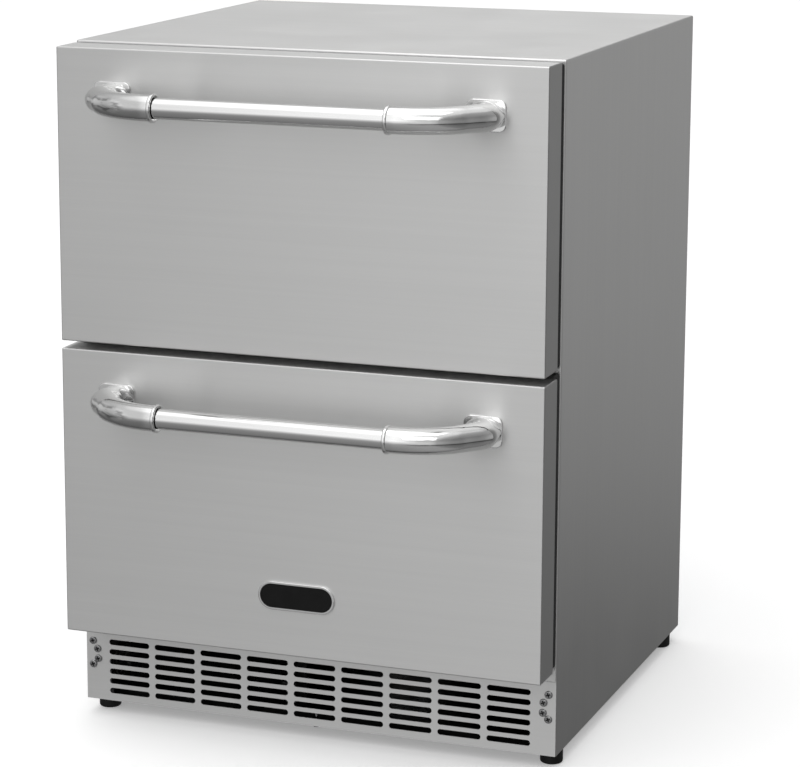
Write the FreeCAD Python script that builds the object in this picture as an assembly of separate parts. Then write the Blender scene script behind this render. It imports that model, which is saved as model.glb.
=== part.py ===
import FreeCAD, Part
import math
import os

# Under counter refrigerator with two drawers. Millimetres, +Z up, front towards -Y.
# Everything is modelled with y = 0 at the drawers' front faces and the floor at FLOOR_Z.
# export_nodes() then moves it so that the origin is on the floor, at the centre of the footprint.

V = FreeCAD.Vector
X_AXIS = V(1, 0, 0)
Y_AXIS = V(0, 1, 0)
Z_AXIS = V(0, 0, 1)
SIDES = (-1, 1)

# ---------------------------------------------------------------- driving dimensions
# cabinet
CABINET_HALF_W = 300.0
CABINET_FRONT = 57.0
CABINET_BACK = 610.0
CABINET_BASE = 22.0
FLOOR_Z = 3.5
CABINET_TOP = 830.0
SHEET = 1.0
FACE_FLANGE = 22.0          # width of the steel face beside the drawer openings
TOP_FLANGE = 24.0
REAR_FLANGE = 15.0
EDGE_BEND = 2.5             # outside bend radius of the cabinet sheet
FIT_HALF_W = 298.6          # half width of what sits between the cabinet's sides
FACE_HALF_W = 277.7         # half width of the rails between the face flanges
REAR_PANEL_FRONT = 607.9
PAN_BOTTOM = 23.0
PAN_TOP = 24.2
COVER_FRONT = 610.0

# drawer fronts
FRONT_HALF_W = 298.0
FRONT_DEPTH = 46.0
FRONT_HEIGHT = 347.0
FRONT_BEND = 1.6
LOWER_FRONT_Z = 125.0
UPPER_FRONT_Z = 481.0
BACK_FLANGE = 24.0          # return flange behind each drawer skin
GASKET_WIDTH = 18.0
GASKET_BACK = 56.8
LOWER_GASKET_Z = (129.5, 476.5)
UPPER_GASKET_Z = (483.0, 826.5)

# cavity
CAVITY_HALF_W = 262.0
CAVITY_BACK = 562.0
CAVITY_FLOOR = 150.0
CAVITY_CEILING = 790.0
STEP_FLOOR = 250.0          # cavity floor over the compressor
STEP_FOOT_Y = 352.0
STEP_HEAD_Y = 366.0
LINER = 2.0
LINER_FRONT = 58.3
CORNER = 12.0

# machine compartment
DIVIDER_LOW = 115.0
DIVIDER_HIGH = 216.0
DIVIDER_RISER_Y = 396.0

# front structure
RAIL_Z = (110.0, 149.7)
MULLION_Z = (455.0, 504.0)
GRILLE_TOP = 112.0
GRILLE_HALF_W = 299.6
SLOT_LENGTH = 53.3
SLOT_HEIGHT = 7.0
SLOT_PITCH_X = 60.6
SLOT_PITCH_Z = 12.33
SLOT_COLUMNS = 9
SLOT_ROWS = 6
FIRST_SLOT_Z = 34.8
GRILLE_SCREWS = ((290.7, 96.3), (284.8, 86.3), (284.0, 74.0), (290.7, 66.5))
GRILLE_TAB_SCREW_Y = 63.0

# handles
HANDLE_DROP = 56.0          # handle height below the top of its drawer front
HANDLE_REACH = 77.0         # bar axis in front of the drawer face
BAR_RADIUS = 12.0
PLATE_X = 226.5
PLATE_SIZE = (46.0, 36.0, 2.5)
ELBOW_RADIUS = 15.0
COLLAR_X = 138.0
COLLAR_RADIUS = 16.5
BEND_OUTER = 107.0          # outside radius of the elbow's bend
BEND_CENTRE_X = 148.9
HANDLE_BOLT_X = 13.0

# drawers and slides
BIN_HALF_W = 249.3
BIN_FRONT = 64.0
BIN_BACK = 468.0
BIN_SHEET = 1.2
BIN_RIM = 2.6               # how far the hemmed rim stands out
BIN_RIM_HEIGHT = 7.0
UPPER_BIN_Z = (514.0, 740.0)
LOWER_BIN_Z = (160.0, 400.0)
LOWER_BIN_STEP_Y = 340.0
LOWER_BIN_STEP_Z = 262.0
SLIDE_Y = (70.0, 468.0)
UPPER_SLIDE_Z = 600.0
LOWER_SLIDE_Z = 330.0
SLIDE_SHEET = 1.2

# levelling feet
FOOT_X = 285.0
FOOT_Y = (90.0, 572.0)
FOOT_RADIUS = 13.5
FOOT_HEIGHT = 17.0
STUD_RADIUS = 4.0
STUD_LENGTH = 58.5

# badge
BADGE_SIZE = (95.5, 34.0)
BADGE_Z = 197.3
BADGE_RIM = 2.6

# refrigeration
TUBE_RADIUS = 3.2
CAPILLARY_RADIUS = 1.3
COMPRESSOR_CENTRE = V(100, 500, 114)
FAN_X = -155.0
FAN_Z = 69.0
EVAPORATOR_FAN_Z = 733.0
KNOB_CENTRE = V(175, 84, 777)
CONDENSER_ROWS = [43.0, 61.0, 79.0, 97.0]
CONDENSER_COLUMNS = [87.0, 105.0]
CONDENSER_X = (-262.0, -44.0)
EVAPORATOR_ROWS = [556.0, 582.0, 608.0, 634.0]
EVAPORATOR_COLUMNS = [506.0, 532.0]
EVAPORATOR_X = (-200.0, 200.0)

SERVICE_COVER_BACK = COVER_FRONT + SHEET
SCREW_HEAD_RADIUS = 4.8
SCREW_HEAD_HEIGHT = 2.2
RECESS_ARM = (5.6, 1.6, 3.4)
SCREW_RADIUS = 2.0
SCREW_HOLE_RADIUS = 2.1
HANDLE_FRONT = -(HANDLE_REACH + COLLAR_RADIUS)
MODEL_BACK = SERVICE_COVER_BACK + SCREW_HEAD_HEIGHT
ORIGIN_Y = (HANDLE_FRONT + MODEL_BACK) / 2


# ---------------------------------------------------------------- shape helpers
def box(x, y, z):
    """Box between the two values given for each axis."""
    size = [axis[1] - axis[0] for axis in (x, y, z)]
    return Part.makeBox(size[0], size[1], size[2], V(x[0], y[0], z[0]))


def centred_box(centre, size):
    """Box of the given size about its centre."""
    return Part.makeBox(size[0], size[1], size[2], centre - V(size[0] / 2, size[1] / 2, size[2] / 2))


def rod(radius, length, start, direction):
    """Cylinder from its start point along a direction."""
    return Part.makeCylinder(radius, length, start, direction)


def edges_along(shape, axis):
    """Straight edges of a shape that run along an axis."""
    straight = [e for e in shape.Edges if isinstance(e.Curve, (Part.Line, Part.LineSegment))]
    return [e for e in straight if abs(abs(e.tangentAt(e.FirstParameter).dot(axis)) - 1) < 1e-6]


def round_along(shape, radius, axis):
    """Round every straight edge that runs along an axis."""
    return shape.makeFillet(radius, edges_along(shape, axis))


def round_where(shape, radius, test):
    """Round the edges whose centre of mass passes a test."""
    return shape.makeFillet(radius, [e for e in shape.Edges if test(e.CenterOfMass)])


def mirrored(shape):
    """The same piece on the other side of the x = 0 plane."""
    return shape.mirror(V(0, 0, 0), X_AXIS)


def both_sides(shape):
    """A left and a right copy of one piece."""
    return [shape, mirrored(shape)]


def prism_x(profile, half_width):
    """Solid with a (y, z) outline, symmetric about x = 0."""
    points = [V(-half_width, y, z) for y, z in profile]
    face = Part.Face(Part.makePolygon(points + points[:1]))
    return face.extrude(V(2 * half_width, 0, 0))


def obround(size, depth, centre):
    """Slot cutter: a bar with round ends, long in x and deep in y, from its front centre."""
    radius = size[1] / 2
    reach = size[0] / 2 - radius
    core = box((centre.x - reach, centre.x + reach), (centre.y, centre.y + depth),
               (centre.z - radius, centre.z + radius))
    ends = [rod(radius, depth, centre + V(side * reach, 0, 0), Y_AXIS) for side in SIDES]
    return core.fuse(ends).removeSplitter()


def ring_plate(half_w, y, z, width, corner):
    """Rectangular ring in the XZ plane, of an even width, with rounded outer corners."""
    outer = round_along(box((-half_w, half_w), y, z), corner, Y_AXIS)
    hole = box((-half_w + width, half_w - width), y, (z[0] + width, z[1] - width))
    return outer.cut(hole)


def tube(points, radius, bend):
    """Round tube along straight runs joined by tangent arcs of one bend radius."""
    edges = []
    last = points[0]
    for before, corner, after in zip(points, points[1:], points[2:]):
        into = (corner - before).normalize()
        out = (after - corner).normalize()
        turn = into.getAngle(out)
        trim = bend * math.tan(turn / 2)
        start = corner - into * trim
        end = corner + out * trim
        inward = (out - into).normalize()
        middle = corner + inward * (bend / math.cos(turn / 2) - bend)
        if (start - last).Length > 1e-4:
            edges.append(Part.LineSegment(last, start).toShape())
        edges.append(Part.Arc(start, middle, end).toShape())
        last = end
    edges.append(Part.LineSegment(last, points[-1]).toShape())
    direction = (points[1] - points[0]).normalize()
    profile = Part.Wire(Part.Circle(points[0], direction, radius).toShape())
    return Part.Wire(edges).makePipeShell([profile], True, True)


def revolve_z(profile, centre):
    """Solid of revolution about a vertical axis from (radius, height) points."""
    points = [centre + V(r, 0, z) for r, z in profile]
    face = Part.Face(Part.makePolygon(points + points[:1]))
    return face.revolve(centre, Z_AXIS, 360)


def screw(position, outward, length):
    """Pan-head screw with a cross recess; its head stands outward from the position."""
    head = rod(SCREW_HEAD_RADIUS, SCREW_HEAD_HEIGHT, V(0, 0, 0), Z_AXIS)
    head = round_where(head, 1.4, lambda c: c.z > SCREW_HEAD_HEIGHT - 0.01)
    for angle in (0, 90):
        cross = centred_box(V(0, 0, SCREW_HEAD_HEIGHT), RECESS_ARM)
        cross.rotate(V(0, 0, 0), Z_AXIS, angle + 20)
        head = head.cut(cross)
    body = head.fuse(rod(SCREW_RADIUS, length, V(0, 0, -length), Z_AXIS))
    body.Placement = FreeCAD.Placement(position, FreeCAD.Rotation(Z_AXIS, outward))
    return body


def hex_nut(centre, across, height, bore):
    """Hexagonal nut standing on its centre point."""
    corner = across / math.sqrt(3)
    points = [centre + V(corner * math.cos(a), corner * math.sin(a), 0)
              for a in (math.radians(60 * k + 30) for k in range(6))]
    body = Part.Face(Part.makePolygon(points + points[:1])).extrude(V(0, 0, height))
    return body.cut(rod(bore, height, centre, Z_AXIS))


def foot_places():
    """The four places where a foot stands, seen from above, by name."""
    places = {}
    for side, side_name in zip(SIDES, ("left", "right")):
        for y, end_name in zip(FOOT_Y, ("front", "rear")):
            places["foot_%s_%s" % (end_name, side_name)] = V(side * FOOT_X, y, 0)
    return places


# ---------------------------------------------------------------- cabinet shell
def cabinet_block(inset):
    """The cabinet's outer box, shrunk by an inset, with its front and top edges bent round."""
    half_w = CABINET_HALF_W - inset
    front, back = CABINET_FRONT + inset, CABINET_BACK - inset
    base, top = CABINET_BASE + inset, CABINET_TOP - inset
    block = box((-half_w, half_w), (front, back), (base, top))
    return round_where(block, EDGE_BEND - inset,
                       lambda c: (c.y < front + 0.1 or c.z > top - 0.1) and c.z > base + 1 and c.y < back - 1)


def outer_wrapper():
    """Folded sheet: two sides, top, and return flanges at the front, the back and below."""
    outer = cabinet_block(0)
    inner = cabinet_block(SHEET)
    face_half_w = CABINET_HALF_W - FACE_FLANGE
    rear_half_w = CABINET_HALF_W - REAR_FLANGE
    front_opening = box((-face_half_w, face_half_w), (CABINET_FRONT - 1, CABINET_FRONT + 5),
                        (CABINET_BASE - 1, CABINET_TOP - TOP_FLANGE))
    rear_opening = box((-rear_half_w, rear_half_w), (CABINET_BACK - 5, CABINET_BACK + 1),
                       (CABINET_BASE - 1, CABINET_TOP - REAR_FLANGE))
    bottom_opening = box((-rear_half_w, rear_half_w), (CABINET_FRONT - 1, CABINET_BACK + 1),
                         (CABINET_BASE - 1, CABINET_BASE + 5))
    stud_holes = [rod(STUD_RADIUS + 0.6, 4, place + V(0, 0, CABINET_BASE - 1), Z_AXIS)
                  for place in foot_places().values()]
    shell = outer.cut([inner, front_opening, rear_opening, bottom_opening])
    return shell.cut(stud_holes + grille_screw_holes() + cover_screw_holes())


def grille_screw_places():
    """Where the grille's eight screws go, on the grille's front face."""
    return [V(side * x, CABINET_FRONT - SHEET, z) for side in SIDES for x, z in GRILLE_SCREWS]


def grille_screw_holes():
    """Clearance holes for the grille's screws."""
    return [rod(SCREW_HOLE_RADIUS, 4, place - V(0, 1, 0), Y_AXIS) for place in grille_screw_places()]


def cover_screw_places():
    """Where the service cover's screws go, on its rear face."""
    edges = [V(side * 291, SERVICE_COVER_BACK, z) for side in SIDES for z in (60, 126, 200)]
    top = [V(x, SERVICE_COVER_BACK, 221.5) for x in (-150, 0, 150)]
    return edges + top


def cover_screw_holes():
    """Clearance holes for the service cover's screws."""
    return [rod(SCREW_HOLE_RADIUS, 8, place - V(0, 6, 0), Y_AXIS) for place in cover_screw_places()]


def rear_panel():
    """Flat sheet behind the insulated part of the cabinet."""
    panel = box((-FIT_HALF_W, FIT_HALF_W), (REAR_PANEL_FRONT, REAR_PANEL_FRONT + SHEET), (DIVIDER_HIGH + 1.3, 828.7))
    return panel.cut(cover_screw_holes())


def service_cover():
    """Ventilated sheet that closes the machine compartment at the back."""
    cover = round_along(box((-296, 296), (COVER_FRONT, SERVICE_COVER_BACK), (26, 226)), 4, Y_AXIS)
    louvres = [obround((70, 5), 4, V(x, COVER_FRONT - 1, z))
               for x in (-80, 10, 100, 190) for z in range(50, 200, 14)]
    inlet_hole = box((-228.3, -171.7), (609, 613), (55.7, 84.3))
    return cover.cut(louvres + [inlet_hole] + cover_screw_holes())


def base_pan():
    """Floor sheet of the machine compartment, with a raised lip at the front and the back."""
    pan = box((-FIT_HALF_W, FIT_HALF_W), (58.4, 608.6), (PAN_BOTTOM, PAN_TOP))
    lips = [box((-270, 270), y, (PAN_TOP, 34)) for y in ((77.5, 78.7), (607.4, 608.6))]
    holes = [rod(STUD_RADIUS + 0.6, 4, place + V(0, 0, CABINET_BASE), Z_AXIS)
             for place in foot_places().values()]
    holes += [rod(SCREW_HOLE_RADIUS, 6, V(0, GRILLE_TAB_SCREW_Y, 21), Z_AXIS)]
    return pan.fuse(lips).cut(holes).removeSplitter()


def divider_profile(lift):
    """Underside of the insulated cabinet, raised by a distance."""
    return [(60.6, DIVIDER_LOW + lift), (DIVIDER_RISER_Y - lift, DIVIDER_LOW + lift),
            (DIVIDER_RISER_Y - lift, DIVIDER_HIGH + lift), (607.5, DIVIDER_HIGH + lift)]


def compartment_divider():
    """Bent sheet between the machine compartment and the insulation."""
    profile = divider_profile(0) + divider_profile(SHEET)[::-1]
    divider = prism_x(profile, FIT_HALF_W)
    return divider.cut(riser_lines(0.4) + [drain_tube(0.4)])


def cavity(offset, front):
    """The cold space, grown by an offset, from a front plane to the back wall."""
    profile = [(front, CAVITY_FLOOR - offset), (STEP_FOOT_Y + offset, CAVITY_FLOOR - offset),
               (STEP_HEAD_Y + offset, STEP_FLOOR - offset), (CAVITY_BACK + offset, STEP_FLOOR - offset),
               (CAVITY_BACK + offset, CAVITY_CEILING + offset), (front, CAVITY_CEILING + offset)]
    solid = prism_x(profile, CAVITY_HALF_W + offset)
    return round_where(solid, CORNER + offset, lambda c: c.y > front + 0.5)


def inner_liner():
    """Vacuum-formed plastic tub of the cold space, with a flange behind the steel face."""
    flange = box((-298, 298), (LINER_FRONT, LINER_FRONT + LINER), (DIVIDER_LOW + 2, 828))
    shell = flange.fuse(cavity(LINER, LINER_FRONT))
    return shell.cut([cavity(0, LINER_FRONT - 1)] + riser_lines(0.4) + [drain_tube(0.4)])


def insulation_foam():
    """Foamed-in-place insulation between the liner and the wrapper, and the mullion's core."""
    profile = divider_profile(SHEET) + [(607.5, 828.4), (60.6, 828.4)]
    body = prism_x(profile, 298.4)
    body = body.cut([cavity(LINER + 0.4, 59.0)] + riser_lines(0.4) + [drain_tube(0.4)])
    core = box((-261.5, 261.5), (CABINET_FRONT + 1.1, 96.8), (MULLION_Z[0] + 1.1, MULLION_Z[1] - 1.1))
    return Part.makeCompound(body.Solids + [core])


def front_mullion():
    """Steel channel across the front between the two drawer openings."""
    z0, z1 = MULLION_Z
    face = box((-FACE_HALF_W, FACE_HALF_W), (CABINET_FRONT, CABINET_FRONT + SHEET), MULLION_Z)
    flanges = [box((-261.7, 261.7), (CABINET_FRONT + SHEET, 97), z)
               for z in ((z0, z0 + SHEET), (z1 - SHEET, z1))]
    return face.fuse(flanges).removeSplitter()


def lower_front_rail():
    """Steel rail under the lower drawer opening."""
    face = box((-FACE_HALF_W, FACE_HALF_W), (CABINET_FRONT, CABINET_FRONT + SHEET), RAIL_Z)
    shelf = box((-FACE_HALF_W, FACE_HALF_W), (CABINET_FRONT + SHEET, 78), (RAIL_Z[0], RAIL_Z[0] + SHEET))
    return face.fuse(shelf).removeSplitter()


def front_grille():
    """Slotted sheet across the foot of the cabinet, with a return flange below."""
    panel = box((-GRILLE_HALF_W, GRILLE_HALF_W), (CABINET_FRONT - SHEET, CABINET_FRONT),
                (CABINET_BASE, GRILLE_TOP))
    panel = panel.fuse(box((-284, 284), (CABINET_FRONT, 76), (CABINET_BASE, CABINET_BASE + 0.9)))
    columns = [SLOT_PITCH_X * (k - (SLOT_COLUMNS - 1) / 2) for k in range(SLOT_COLUMNS)]
    rows = [FIRST_SLOT_Z + SLOT_PITCH_Z * k for k in range(SLOT_ROWS)]
    slots = [obround((SLOT_LENGTH, SLOT_HEIGHT), SHEET + 2, V(x, CABINET_FRONT - SHEET - 1, z))
             for x in columns for z in rows]
    tab_hole = rod(SCREW_HOLE_RADIUS, 6, V(0, GRILLE_TAB_SCREW_Y, 20), Z_AXIS)
    return panel.cut(slots + grille_screw_holes() + [tab_hole]).removeSplitter()


def cabinet_fasteners():
    """Screws of the grille and the service cover, and the nuts that the feet turn in."""
    screws = [screw(place, -Y_AXIS, 9.0) for place in grille_screw_places()]
    screws += [screw(place, Y_AXIS, 3.0) for place in cover_screw_places()]
    screws.append(screw(V(0, GRILLE_TAB_SCREW_Y, CABINET_BASE), -Z_AXIS, 16.0))
    nuts = [hex_nut(place + V(0, 0, PAN_TOP), 13.0, 9.0, STUD_RADIUS + 0.05) for place in foot_places().values()]
    return Part.makeCompound(screws + nuts)


def levelling_foot(place):
    """Round plastic foot with a rounded lower edge and a threaded stud."""
    ground = place + V(0, 0, FLOOR_Z)
    pad = rod(FOOT_RADIUS, FOOT_HEIGHT, ground, Z_AXIS)
    pad = round_where(pad, 3.0, lambda c: c.z < FLOOR_Z + 0.01)
    pad = round_where(pad, 1.0, lambda c: c.z > FLOOR_Z + FOOT_HEIGHT - 0.01)
    return pad.fuse(rod(STUD_RADIUS, STUD_LENGTH, ground, Z_AXIS))


# ---------------------------------------------------------------- drawers
def drawer_skin(z0):
    """Folded stainless front with four deep edges and a return flange."""
    z1 = z0 + FRONT_HEIGHT
    outer = box((-FRONT_HALF_W, FRONT_HALF_W), (0, FRONT_DEPTH), (z0, z1))
    outer = round_where(outer, FRONT_BEND, lambda c: c.y < FRONT_DEPTH - 0.1)
    inner_w = FRONT_HALF_W - SHEET
    inner = box((-inner_w, inner_w), (SHEET, FRONT_DEPTH - SHEET), (z0 + SHEET, z1 - SHEET))
    inner = round_where(inner, FRONT_BEND - SHEET, lambda c: c.y < FRONT_DEPTH - SHEET - 0.1)
    hole_w = FRONT_HALF_W - BACK_FLANGE
    opening = box((-hole_w, hole_w), (FRONT_DEPTH - 5, FRONT_DEPTH + 1), (z0 + BACK_FLANGE, z1 - BACK_FLANGE))
    bolt_holes = [rod(3.2, 4, V(x, -1, z1 - HANDLE_DROP), Y_AXIS) for x in handle_bolt_xs()]
    return outer.cut([inner, opening] + bolt_holes)


def plug_box(plug_z, wall):
    """The part of a drawer's inner panel that enters the opening, less a wall thickness."""
    half_w = CAVITY_HALF_W - 7 - wall
    return round_along(box((-half_w, half_w), (FRONT_DEPTH, BIN_FRONT - wall),
                           (plug_z[0] + wall, plug_z[1] - wall)), 8 - wall, Y_AXIS)


def inner_panel(gasket_z, plug_z):
    """Formed plastic panel that closes the back of a drawer front."""
    half_w = FRONT_HALF_W - GASKET_WIDTH - 0.5
    inset = GASKET_WIDTH + 0.5
    plate = box((-half_w, half_w), (FRONT_DEPTH, FRONT_DEPTH + 3), (gasket_z[0] + inset, gasket_z[1] - inset))
    return plate.fuse(plug_box(plug_z, 0)).cut(plug_box(plug_z, 2.5)).removeSplitter()


def drawer_foam(z0, plug_z):
    """Foam core of a drawer front, running into its inner panel."""
    z1 = z0 + FRONT_HEIGHT
    core = box((-296.7, 296.7), (SHEET + 0.3, FRONT_DEPTH - SHEET - 0.3), (z0 + 1.3, z1 - 1.3))
    neck = box((-252, 252), (FRONT_DEPTH - 3, BIN_FRONT - 3), (plug_z[0] + 3, plug_z[1] - 3))
    neck = round_along(neck, 6, Y_AXIS)
    head_room = [rod(9.5, 6, V(x, SHEET, z1 - HANDLE_DROP), Y_AXIS) for x in handle_bolt_xs()]
    return core.fuse(neck).cut(head_room).removeSplitter()


def gasket(gasket_z):
    """Magnetic bellows seal around the back of a drawer front."""
    ring = ring_plate(FRONT_HALF_W, (FRONT_DEPTH, GASKET_BACK), gasket_z, GASKET_WIDTH, 4.0)
    fold_y = (FRONT_DEPTH + 4.4, FRONT_DEPTH + 6.4)
    fold = ring_plate(FRONT_HALF_W + 1, fold_y, (gasket_z[0] - 1, gasket_z[1] + 1), 3.0, 1.0)
    return ring.cut(fold)


def bin_rim(top):
    """Three hemmed strips around the outside of a bin's upper edge."""
    height = (top - BIN_RIM_HEIGHT, top)
    outside = BIN_HALF_W + BIN_RIM
    sides = both_sides(box((BIN_HALF_W, outside), (BIN_FRONT, BIN_BACK), height))
    return sides + [box((-outside, outside), (BIN_BACK, BIN_BACK + BIN_RIM), height)]


def open_bin(profile):
    """Open-topped bin of welded sheets on a (y, z) side outline that starts and ends at the rim."""
    inner_w = BIN_HALF_W - BIN_SHEET
    side = prism_x(profile, BIN_SHEET / 2)
    side.translate(V(BIN_HALF_W - BIN_SHEET / 2, 0, 0))
    sheets = both_sides(side)
    for (y0, z0), (y1, z1) in zip(profile, profile[1:]):
        if y0 == y1:
            inward = BIN_SHEET if z1 < z0 and y0 == BIN_FRONT else -BIN_SHEET
            sheets.append(box((-inner_w, inner_w), sorted((y0, y0 + inward)), sorted((z0, z1))))
        else:
            ends = (y0 + BIN_SHEET if y0 == BIN_FRONT else y0 - BIN_SHEET, y1 - BIN_SHEET)
            sheets.append(box((-inner_w, inner_w), ends, (z0, z0 + BIN_SHEET)))
    return Part.makeCompound(sheets + bin_rim(profile[0][1]))


def upper_bin():
    """Plain bin of the upper drawer."""
    z0, z1 = UPPER_BIN_Z
    return open_bin([(BIN_FRONT, z1), (BIN_FRONT, z0), (BIN_BACK, z0), (BIN_BACK, z1)])


def lower_bin():
    """Bin of the lower drawer, stepped up over the compressor."""
    z0, z1 = LOWER_BIN_Z
    step_y, step_z = LOWER_BIN_STEP_Y, LOWER_BIN_STEP_Z
    return open_bin([(BIN_FRONT, z1), (BIN_FRONT, z0), (step_y, z0), (step_y, step_z), (BIN_BACK, step_z),
                     (BIN_BACK, z1)])


def channel(web_x, lip_x, half_height, z):
    """Right-hand slide member: a web at web_x and two lips that reach to lip_x."""
    outward = SLIDE_SHEET if web_x > lip_x else -SLIDE_SHEET
    web = box(sorted((web_x, web_x - outward)), SLIDE_Y, (z - half_height, z + half_height))
    lip_z = ((z - half_height, z - half_height + SLIDE_SHEET), (z + half_height - SLIDE_SHEET, z + half_height))
    lips = [box(sorted((web_x, lip_x)), SLIDE_Y, height) for height in lip_z]
    return web.fuse(lips).removeSplitter()


def slide_outer(z):
    """Member fixed to the liner's wall."""
    return channel(CAVITY_HALF_W - 0.1, 251.2, 22.5, z)


def slide_middle(z):
    """Member between the outer and the inner one."""
    return channel(259.7, 251.2, 19.2, z)


def slide_inner(z):
    """Member fixed to the bin's side."""
    return channel(BIN_HALF_W, 257.4, 15.9, z)


# ---------------------------------------------------------------- handles and badge
def handle_bolt_xs():
    """Where the handle bolts pass through a drawer skin."""
    return [side * PLATE_X + step * HANDLE_BOLT_X for side in SIDES for step in SIDES]


def elbow_section(centre_x, reach, tilt, half_w, half_h, z):
    """Oval wire across the elbow: tilt 0 faces the drawer, tilt 90 faces the bar."""
    turn = math.radians(tilt)
    across = V(math.cos(turn), math.sin(turn), 0)
    along = V(math.sin(turn), -math.cos(turn), 0)
    oval = Part.Ellipse(V(0, 0, 0), half_w + 0.001, half_h).toShape()
    spin = FreeCAD.Rotation(across, Z_AXIS, along, "XYZ")
    oval.Placement = FreeCAD.Placement(V(centre_x, -reach, z), spin)
    return Part.Wire(oval)


def left_elbow(z):
    """Cast elbow: base plate, oval neck, long bend, and a rolled collar around the bar."""
    sections = [elbow_section(-PLATE_X, 1.0, 0, 22.4, 16.8, z),
                elbow_section(-PLATE_X - 1.2, 7.0, 7, 21.4, 16.2, z)]
    bend_centre_reach = HANDLE_REACH + ELBOW_RADIUS - BEND_OUTER
    for angle, half_w, half_h in ((20, 19.6, 15.8), (33, 18.3, 15.5), (46, 17.3, 15.3),
                                  (59, 16.3, 15.1), (72, 15.5, 15.0), (86, 15.0, 15.0)):
        turn = math.radians(angle)
        middle = BEND_OUTER - half_w
        sections.append(elbow_section(-BEND_CENTRE_X - middle * math.cos(turn),
                                      bend_centre_reach + middle * math.sin(turn), angle, half_w, half_h, z))
    sections.append(elbow_section(-COLLAR_X, HANDLE_REACH, 90, ELBOW_RADIUS, ELBOW_RADIUS, z))
    neck = Part.makeLoft(sections, True, False)
    width, height, thickness = PLATE_SIZE
    plate = box((-PLATE_X - width / 2, -PLATE_X + width / 2), (-thickness, 0), (z - height / 2, z + height / 2))
    plate = round_along(plate, 8.0, Y_AXIS)
    plate = round_where(plate, 1.0, lambda c: c.y < -thickness + 0.01)
    collar_start = V(-COLLAR_X - 4.5, -HANDLE_REACH, z)
    collar = rod(COLLAR_RADIUS, 4.5, collar_start, X_AXIS)
    collar = round_where(collar, 1.4, lambda c: abs(c.x - collar_start.x) < 0.01 or abs(c.x + COLLAR_X) < 0.01)
    recess = rod(14.0, 7.0, V(-COLLAR_X - 6.0, -HANDLE_REACH, z), X_AXIS)
    socket = rod(BAR_RADIUS + 0.05, 21.0, V(-COLLAR_X - 20.0, -HANDLE_REACH, z), X_AXIS)
    bolt_holes = [rod(3.05, 9.0, V(-PLATE_X + step * HANDLE_BOLT_X, -9.0, z), Y_AXIS) for step in SIDES]
    return neck.fuse([plate, collar]).cut([recess, socket] + bolt_holes)


def handle_elbows(z):
    """The two elbows of one handle."""
    return Part.makeCompound(both_sides(left_elbow(z)))


def handle_bar(z):
    """Straight tube held in the two elbows."""
    reach = COLLAR_X + 19.0
    start = V(-reach, -HANDLE_REACH, z)
    return rod(BAR_RADIUS, 2 * reach, start, X_AXIS).cut(rod(BAR_RADIUS - 2.0, 2 * reach, start, X_AXIS))


def handle_bolts(z):
    """Bolts that hold the elbows from inside the drawer skin."""
    bolts = []
    for x in handle_bolt_xs():
        shank = rod(3.0, 9.5, V(x, -8.5, z), Y_AXIS)
        washer = rod(8.5, 1.2, V(x, SHEET, z), Y_AXIS)
        head = rod(5.0, 4.0, V(x, SHEET + 1.2, z), Y_AXIS)
        bolts.append(shank.fuse([washer, head]))
    return Part.makeCompound(bolts)


def badge_rim():
    """Bright raised rim around the badge."""
    front = V(0, -2.4, BADGE_Z)
    outer = round_where(obround(BADGE_SIZE, 2.4, front), 0.8, lambda c: c.y < -2.3)
    inner_size = (BADGE_SIZE[0] - 2 * BADGE_RIM, BADGE_SIZE[1] - 2 * BADGE_RIM)
    return outer.cut(obround(inner_size, 6, front - V(0, 1, 0)))


def badge_plate():
    """Dark plain plate inside the badge's rim."""
    size = (BADGE_SIZE[0] - 2 * BADGE_RIM - 0.1, BADGE_SIZE[1] - 2 * BADGE_RIM - 0.1)
    return round_where(obround(size, 1.7, V(0, -1.7, BADGE_Z)), 0.4, lambda c: c.y < -1.6)


# ---------------------------------------------------------------- refrigeration
def pot(inset, bottom, top):
    """Rounded compressor body, shrunk by an inset."""
    size = (176 - 2 * inset, 142 - 2 * inset, top - bottom)
    centre = V(COMPRESSOR_CENTRE.x, COMPRESSOR_CENTRE.y, (bottom + top) / 2)
    body = round_along(centred_box(centre, size), 64 - inset, Z_AXIS)
    return round_where(body, 30 - inset, lambda c: abs(c.z - centre.z) > size[2] / 2 - 0.5)


def grommet_places():
    """The compressor's four rubber mounts, at base pan height."""
    return [V(COMPRESSOR_CENTRE.x + side * 85, COMPRESSOR_CENTRE.y + end * 58, 24.3)
            for side in SIDES for end in SIDES]


def compressor():
    """Welded steel pot with its weld flange and base plate, and the pump block inside."""
    shell = pot(0, 38, 190)
    flange = centred_box(V(COMPRESSOR_CENTRE.x, COMPRESSOR_CENTRE.y, 118), (184, 150, 3))
    flange = round_along(flange, 66, Z_AXIS)
    plate = centred_box(V(COMPRESSOR_CENTRE.x, COMPRESSOR_CENTRE.y, 38), (200, 146, 3))
    plate = round_along(plate, 12, Z_AXIS)
    plate = plate.cut([rod(6.8, 8, place + V(0, 0, 9), Z_AXIS) for place in grommet_places()])
    hollow = pot(3.2, 41.2, 186.8)
    pump = rod(46, 96, V(COMPRESSOR_CENTRE.x, COMPRESSOR_CENTRE.y, 66), Z_AXIS)
    return Part.makeCompound([shell.fuse([flange, plate]).cut(hollow), pump])


def compressor_grommets():
    """Rubber mounts with a groove that takes the compressor's base plate."""
    profile = [(0, 0), (12, 0), (12, 12), (6.6, 12), (6.6, 15.4), (10, 15.4), (8, 20), (0, 20)]
    return Part.makeCompound([revolve_z(profile, place) for place in grommet_places()])


def terminal_cover():
    """Plastic cover over the compressor's terminals."""
    cover = box((193.5, 222), (472, 528), (80, 150))
    return round_where(cover, 5.0, lambda c: c.x > 221)


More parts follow.
